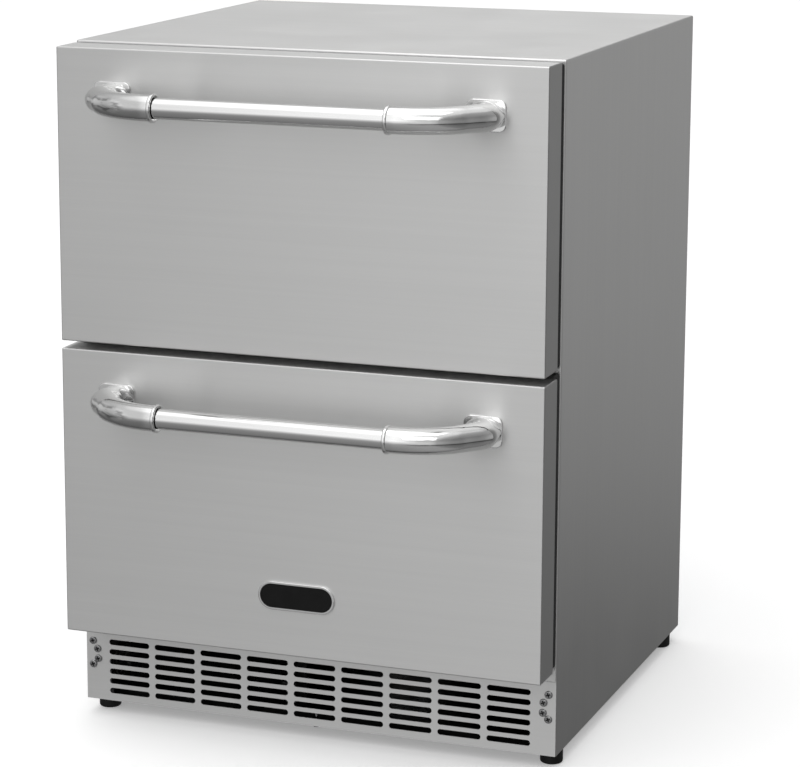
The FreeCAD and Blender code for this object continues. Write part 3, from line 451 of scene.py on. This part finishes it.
def add_bar(vertices, faces, centre, turn, across, deep, up):
    """Add a bar, given by its two limits along each axis, turned and moved to a centre."""
    first = len(vertices)
    for x, z in ((across[0], up[0]), (across[1], up[0]), (across[1], up[1]), (across[0], up[1])):
        for y in deep:
            vertices.append(centre + turn @ Vector((x, y, z)))
    sides = ((0, 2, 4, 6), (1, 7, 5, 3), (0, 1, 3, 2), (2, 3, 5, 4), (4, 5, 7, 6), (6, 7, 1, 0))
    faces.extend(tuple(first + corner for corner in side) for side in sides)


def frame_sweep(profile, low, high, corner, steps=8):
    """A closed (inset, depth) profile swept round an upright rectangle with rounded corners."""
    path = []
    for side_x, side_z, first in ((1, 1, 0), (-1, 1, 90), (-1, -1, 180), (1, -1, 270)):
        centre = ((high.x if side_x > 0 else low.x) - side_x * corner,
                  (high.z if side_z > 0 else low.z) - side_z * corner)
        for k in range(steps + 1):
            angle = math.radians(first + 90 * k / steps)
            path.append((centre, (side_x, side_z), (math.cos(angle), math.sin(angle))))
    vertices = []
    for centre, sides, direction in path:
        for inset, depth in profile:
            arm = max(corner - inset, 0.0)
            past = max(inset - corner, 0.0)
            vertices.append((centre[0] + arm * direction[0] - past * sides[0], low.y + depth,
                             centre[1] + arm * direction[1] - past * sides[1]))
    width, rows = len(profile), len(path)
    faces = []
    for row in range(rows):
        beyond = (row + 1) % rows
        for k in range(width):
            nearby = (k + 1) % width
            faces.append((row * width + k, row * width + nearby,
                          beyond * width + nearby, beyond * width + k))
    return vertices, faces


# ---------------------------------------------------------------- pieces
def foot(name):
    """Moulded foot with a rounded lower edge, and the threaded stud that it turns on."""
    low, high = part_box(name)
    centre = Vector(((low.x + high.x) / 2, (low.y + high.y) / 2, low.z))
    curve, neck = 3.2 * MM, 4.2 * MM
    top = FOOT_HEIGHT - 0.8 * MM
    profile = [(FOOT_RADIUS - curve + curve * math.sin(angle), curve - curve * math.cos(angle))
               for angle in (math.radians(15 * k) for k in range(7))]
    profile.insert(0, (1.0 * MM, 0.0))
    profile += [(FOOT_RADIUS, FOOT_HEIGHT - 1.2 * MM), (FOOT_RADIUS - 0.5 * MM, FOOT_HEIGHT - 0.4 * MM),
                (FOOT_RADIUS - 1.4 * MM, FOOT_HEIGHT), (7.2 * MM, FOOT_HEIGHT), (7.0 * MM, top), (neck, top)]
    vertices, faces = lathe(profile, centre)
    pad = mesh_piece(name + "_pad", vertices, faces, "black_plastic", name)
    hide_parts(name)

    vertices, faces = thread(centre + Vector((0.0, 0.0, top)), high.z - low.z - top)
    stud = mesh_piece(name + "_stud", vertices, faces, "zinc_plate", name)
    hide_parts(name)


def thread(start, length):
    """Vertices and faces of an upright M8 screw thread above its start point."""
    steps, pitch, depth = 24, 1.25 * MM, 0.62 * MM
    crest = 4.0 * MM
    rings = int(length / pitch) * steps
    vertices, faces = [], []
    for ring in range(rings + 1):
        angle = math.tau * ring / steps
        height = (length - pitch) * ring / rings
        for offset, cut in ((0.0, depth), (0.5 * pitch, 0.0), (pitch, depth)):
            reach = crest - cut
            vertices.append((start.x + reach * math.cos(angle), start.y + reach * math.sin(angle),
                             start.z + height + offset))
    for ring in range(rings):
        for k in range(2):
            faces.append((3 * ring + k, 3 * ring + 3 + k, 3 * ring + 4 + k, 3 * ring + 1 + k))
    return vertices, faces


def gasket(name, body):
    """Magnetic seal: a dart against the drawer, two bellows folds and a flat magnet pad."""
    low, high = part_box(name)
    outline = [(1.0, 0.0), (0.3, 0.8), (0.0, 1.6), (0.3, 2.6), (1.6, 3.4), (2.2, 4.1), (1.6, 4.8), (0.3, 5.5),
               (0.0, 6.4), (0.3, 7.2), (1.1, 7.7), (0.4, 8.3), (0.0, 9.2), (0.5, 10.3), (1.4, 10.8),
               (15.6, 10.8), (16.6, 10.2), (17.0, 9.2), (16.4, 8.2), (15.0, 7.6), (14.4, 6.6), (15.6, 5.6),
               (16.6, 4.6), (16.0, 3.4), (15.2, 2.6), (16.6, 1.2), (17.6, 0.6), (17.6, 0.0)]
    profile = [(inset * MM, depth * MM) for inset, depth in outline]
    vertices, faces = frame_sweep(profile, low, high, 4.0 * MM)
    seal = mesh_piece(name + "_bellows", vertices, faces, "seal_rubber", body, 60.0)
    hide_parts(name)


def formed_bin(name, body, step=None):
    """Pressed bin with rounded corners and a hemmed rim; step is the (y, z) of a raised rear floor."""
    low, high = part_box(name)
    rim = 2.6 * MM
    half_w, back = high.x - rim, high.y - rim
    rear_floor = [(step[0], low.z), step, (back, step[1])] if step else [(back, low.z)]
    outline = [(low.y, high.z), (low.y, low.z), *rear_floor, (back, high.z)]
    made = bmesh.new()
    rows = [[made.verts.new((side * half_w, y, z)) for y, z in outline] for side in (-1, 1)]
    for left, right, next_left, next_right in zip(rows[0], rows[1], rows[0][1:], rows[1][1:]):
        made.faces.new((left, right, next_right, next_left))
    for row in rows:
        made.faces.new(row)
    bmesh.ops.recalc_face_normals(made, faces=made.faces)
    folds = [e for e in made.edges if len(e.link_faces) == 2]
    bmesh.ops.bevel(made, geom=folds, offset=BIN_CORNER, offset_type="OFFSET", segments=5, profile=0.5,
                    affect="EDGES", clamp_overlap=True)
    bmesh.ops.triangulate(made, faces=[f for f in made.faces if len(f.verts) > 4])
    mesh = bpy.data.meshes.new(name + "_pressing")
    pressing = finished_piece(name + "_pressing", made, mesh, "bin_steel", body)
    wall = pressing.modifiers.new("wall", "SOLIDIFY")
    wall.thickness = 1.0 * MM
    wall.offset = -1.0
    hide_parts(name)
    rolled_rim(name, body, low, high, rim)


def rolled_rim(name, body, low, high, rim):
    """Hem rolled outwards along the two sides and the back of a bin."""
    half_w, back = high.x - rim, high.y - rim
    centre = (half_w - BIN_CORNER, back - BIN_CORNER)
    path = [((half_w, low.y), (1.0, 0.0)), ((half_w, centre[1]), (1.0, 0.0))]
    for k in range(1, 9):
        angle = math.radians(90 * k / 9)
        out = (math.cos(angle), math.sin(angle))
        path.append(((centre[0] + BIN_CORNER * out[0], centre[1] + BIN_CORNER * out[1]), out))
    path.append(((centre[0], back), (0.0, 1.0)))
    path += [((-point[0], point[1]), (-out[0], out[1])) for point, out in reversed(path)]
    section = [(0.0, 0.0), (0.9, 0.0), (1.9, -0.2), (2.5, -1.2), (2.6, -2.4), (2.6, -5.4), (2.2, -6.6),
               (1.3, -7.0), (0.4, -6.6), (0.1, -5.6)]
    vertices = [(point[0] + out[0] * reach * MM, point[1] + out[1] * reach * MM, high.z + up * MM)
                for point, out in path for reach, up in section]
    width = len(section)
    faces = [(row * width + k, row * width + (k + 1) % width, (row + 1) * width + (k + 1) % width,
              (row + 1) * width + k) for row in range(len(path) - 1) for k in range(width)]
    faces += [tuple(range(width)), tuple(range((len(path) - 1) * width, len(path) * width))]
    hem = mesh_piece(name + "_hem", vertices, faces, "bin_steel", body, 50.0)


def fin_stack(name, finish, body, count):
    """Thin wavy fins, closer together than the ones that carry the coil's weight in CAD."""
    low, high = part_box(name)
    steps = 10
    vertices, faces = [], []
    for k in range(count):
        x = low.x + (high.x - low.x) * k / (count - 1)
        for j in range(steps + 1):
            wave = 0.35 * MM * (1 if j % 2 else -1)
            y = low.y + (high.y - low.y) * j / steps
            x_here = min(max(x + wave, low.x), high.x)
            vertices += [(x_here, y, low.z), (x_here, y, high.z)]
        base = k * 2 * (steps + 1)
        for corner in range(base, base + 2 * steps, 2):
            faces.append((corner, corner + 2, corner + 3, corner + 1))
    stack = mesh_piece(name + "_close", vertices, faces, finish, body, 80.0)
    leaf = stack.modifiers.new("leaf", "SOLIDIFY")
    leaf.thickness = 0.16 * MM
    leaf.offset = 0.0
    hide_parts(name)


def dial_marks():
    """Raised ticks around the thermostat's knob, wider towards the cold end."""
    low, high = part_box("thermostat_knob")
    housing_low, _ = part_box("control_housing")
    centre = Vector(((low.x + high.x) / 2, housing_low.y, (low.z + high.z) / 2))
    vertices, faces = [], []
    for k in range(9):
        turn = Matrix.Rotation(math.radians(-120 + 30 * k), 3, "Y")
        half = (0.35 + 0.06 * k) * MM
        add_bar(vertices, faces, centre, turn, (-half, half), (0.1 * MM, -0.25 * MM), (12.4 * MM, 14.4 * MM))
    ticks = mesh_piece("thermostat_dial_marks", vertices, faces, "black_plastic", "cabinet")


def paint_recess_shade():
    """Painted shadow: a dark cross at the bottom of the drive recess of each grille screw, where shade falls.
    """
    low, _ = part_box("front_grille")
    arm, half = 2.7 * MM, 0.75 * MM
    vertices, faces = [], []
    for side in (-1, 1):
        for x, z in GRILLE_SCREWS:
            centre = Vector((side * x, low.y - SCREW_HEAD_DEPTH, z))
            for tilt in (20, 110):
                turn = Matrix.Rotation(math.radians(-tilt), 3, "Y")
                add_bar(vertices, faces, centre, turn, (-arm, arm), (0.0, 0.5 * MM), (-half, half))
    shade_crosses = mesh_piece("grille_screw_recess_shade", vertices, faces, "black_paint", "cabinet")


def add_pieces():
    """Every piece that stands for a CAD node or adds to it."""
    for name in ("foot_front_left", "foot_front_right", "foot_rear_left", "foot_rear_right"):
        foot(name)
    gasket("upper_gasket", "upper_drawer")
    gasket("lower_gasket", "lower_drawer")
    formed_bin("upper_bin", "upper_drawer")
    formed_bin("lower_bin", "lower_drawer", LOWER_BIN_STEP)
    fin_stack("condenser_fins", "black_paint", "cabinet", 84)
    fin_stack("evaporator_fins", "fin_aluminium", "cabinet", 92)
    dial_marks()
    # the dark crosses in the grille screw recesses are painted shadow
    paint_recess_shade()


# ---------------------------------------------------------------- studio
# grey level of the surroundings against how far up a direction points, from -1 to 1:
# in front of the object, then to its right
FRONT_LEVELS = ((-1.0, 0.20), (-0.5, 0.29), (-0.3, 0.40), (-0.12, 0.73), (-0.02, 0.94), (0.1, 1.12),
                (0.5, 1.10), (0.72, 1.12), (0.85, 1.55), (1.0, 1.5))
RIGHT_LEVELS = ((-1.0, 0.30), (-0.6, 0.34), (-0.42, 0.32), (-0.35, 0.09), (-0.31, 0.08), (-0.24, 0.57),
                (-0.1, 0.68), (0.05, 0.70), (0.4, 0.50), (1.0, 0.9))
# how much of that is left against how far right a direction points, from -1 to 1:
# for what lies in front, then for what lies behind
ACROSS_LEVELS = ((-1.0, 0.30), (-0.93, 0.40), (-0.80, 0.62), (-0.50, 0.60), (-0.36, 1.00), (-0.25, 1.15),
                 (0.48, 1.0), (0.60, 0.60), (0.8, 0.40), (1.0, 0.34))
BEHIND_LEVELS = ((-1.0, 0.44), (-0.45, 0.38), (-0.25, 0.24), (0.0, 0.26), (0.15, 0.62), (0.25, 0.56),
                 (0.5, 0.56), (0.7, 0.62), (1.0, 0.60))


def floor():
    """Large pale disc that the object stands on."""
    mesh = bpy.data.meshes.new("floor")
    body = bmesh.new()
    bmesh.ops.create_circle(body, cap_ends=True, segments=96, radius=70.0)
    body.to_mesh(mesh)
    body.free()
    disc = bpy.data.objects.new("floor", mesh)
    bpy.context.scene.collection.objects.link(disc)
    finish = Finish("floor_paper", (0.95, 0.95, 0.95), 0.9)
    finish.feed("Base Color", finish.tint(finish.noise(3.0, 2.0), (0.94, 0.94, 0.94), (0.96, 0.96, 0.96)))
    finish.set("Emission Color", (1.0, 1.0, 1.0, 1.0))
    finish.set("Emission Strength", 0.30)
    mesh.materials.append(finish.material)
    disc.visible_glossy = False


def softbox(name, centre, target, size, power):
    """Rectangular area light that faces a target."""
    light = bpy.data.lights.new(name, "AREA")
    light.shape = "RECTANGLE"
    light.size = size[0]
    light.size_y = size[1]
    light.energy = power
    lamp = bpy.data.objects.new(name, light)
    lamp.location = centre
    lamp.rotation_euler = (Vector(target) - Vector(centre)).to_track_quat("-Z", "Y").to_euler()
    bpy.context.scene.collection.objects.link(lamp)


def level_ramp(tree, source, stops):
    """Grey levels against one part of a direction, which goes from -1 to 1."""
    half = tree.nodes.new("ShaderNodeMapRange")
    half.inputs["From Min"].default_value = -1.0
    tree.links.new(source, half.inputs["Value"])
    ramp = tree.nodes.new("ShaderNodeValToRGB")
    elements = ramp.color_ramp.elements
    while len(elements) < len(stops):
        elements.new(0.5)
    for element, (height, level) in zip(elements, stops):
        element.position = (height + 1) / 2
        element.color = (level, level, level, 1.0)
    tree.links.new(half.outputs["Result"], ramp.inputs["Fac"])
    return ramp.outputs["Color"]


def blend(tree, factor, first, second):
    """Mix two colours; a number stands for a grey."""
    mix = tree.nodes.new("ShaderNodeMix")
    mix.data_type = "RGBA"
    tree.links.new(factor, mix.inputs["Factor"])
    sockets = [socket for socket in mix.inputs if socket.type == "RGBA"]
    for socket, value in zip(sockets, (first, second)):
        if isinstance(value, float):
            socket.default_value = (value, value, value, 1.0)
        else:
            tree.links.new(value, socket)
    return [socket for socket in mix.outputs if socket.type == "RGBA"][0]


def multiply(tree, first, second):
    """Product of two colours."""
    product = tree.nodes.new("ShaderNodeVectorMath")
    product.operation = "MULTIPLY"
    tree.links.new(first, product.inputs[0])
    tree.links.new(second, product.inputs[1])
    return product.outputs["Vector"]


def room_clutter(tree, direction):
    """Uneven light and dark patches, as of a room beside the studio's paper."""
    noise = tree.nodes.new("ShaderNodeTexNoise")
    noise.inputs["Scale"].default_value = 2.4
    noise.inputs["Detail"].default_value = 2.0
    noise.inputs["Distortion"].default_value = 0.6
    tree.links.new(direction, noise.inputs["Vector"])
    return smooth_step(tree, noise.outputs["Fac"], 0.42, 0.58, 0.55, 1.25)


def smooth_step(tree, source, start, end, low, high):
    """A smooth change from low to high as a value goes from start to end."""
    step = tree.nodes.new("ShaderNodeMapRange")
    step.interpolation_type = "SMOOTHSTEP"
    for name, value in (("From Min", start), ("From Max", end), ("To Min", low), ("To Max", high)):
        step.inputs[name].default_value = value
    tree.links.new(source, step.inputs["Value"])
    return step.outputs["Result"]


def surroundings():
    """Pale studio: bright above the horizon and in front, darker below, behind and to the right."""
    world = bpy.data.worlds.new("studio")
    world.use_nodes = True
    bpy.context.scene.world = world
    tree = world.node_tree
    tree.nodes.clear()
    direction = tree.nodes.new("ShaderNodeTexCoord").outputs["Generated"]
    split = tree.nodes.new("ShaderNodeSeparateXYZ")
    tree.links.new(direction, split.inputs["Vector"])
    across, along, up = split.outputs["X"], split.outputs["Y"], split.outputs["Z"]

    behind = tree.nodes.new("ShaderNodeMath")
    behind.operation = "MULTIPLY"
    tree.links.new(smooth_step(tree, along, -0.3, 0.3, 0.0, 1.0), behind.inputs[0])
    tree.links.new(smooth_step(tree, up, 0.45, 0.82, 1.0, 0.0), behind.inputs[1])
    far_left = smooth_step(tree, across, -0.72, -0.86, 0.0, 1.0)
    rightward = smooth_step(tree, across, -0.33, 0.36, 0.0, 1.0)
    level = blend(tree, rightward, level_ramp(tree, up, FRONT_LEVELS), level_ramp(tree, up, RIGHT_LEVELS))
    in_front, at_back = (level_ramp(tree, across, levels) for levels in (ACROSS_LEVELS, BEHIND_LEVELS))
    level = multiply(tree, level, blend(tree, behind.outputs["Value"], in_front, at_back))
    level = multiply(tree, level, blend(tree, far_left, 1.0, room_clutter(tree, direction)))

    seen = tree.nodes.new("ShaderNodeBackground")
    seen.inputs["Color"].default_value = (1.0, 1.0, 1.0, 1.0)
    lighting = tree.nodes.new("ShaderNodeBackground")
    tree.links.new(level, lighting.inputs["Color"])
    mix = tree.nodes.new("ShaderNodeMixShader")
    tree.links.new(tree.nodes.new("ShaderNodeLightPath").outputs["Is Camera Ray"], mix.inputs["Fac"])
    tree.links.new(lighting.outputs["Background"], mix.inputs[1])
    tree.links.new(seen.outputs["Background"], mix.inputs[2])
    output = tree.nodes.new("ShaderNodeOutputWorld")
    tree.links.new(mix.outputs["Shader"], output.inputs["Surface"])


def camera():
    """Camera in front, to the right and a little above."""
    data = bpy.data.cameras.new("camera")
    data.sensor_width = 36.0
    data.lens = 133.56
    data.shift_x = 0.0813
    data.shift_y = -0.0356
    data.clip_end = 200.0
    view = bpy.data.objects.new("camera", data)
    view.location = (1.243, -3.3409, 1.1855)
    yaw, pitch = math.radians(21.20), math.radians(11.95)
    view.rotation_euler = (math.pi / 2 - pitch, 0.0, yaw)
    bpy.context.scene.collection.objects.link(view)
    bpy.context.scene.camera = view


bpy.context.scene.view_settings.view_transform = "Standard"
finish_nodes()
add_pieces()
floor()
surroundings()
softbox("overhead_softbox", (0.1, -0.7, 2.9), (0.0, -0.1, 0.4), (1.8, 1.2), 5.0)
softbox("front_softbox", (0.9, -3.0, 2.5), (0.0, -0.2, 0.4), (2.4, 1.6), 12.0)
camera()
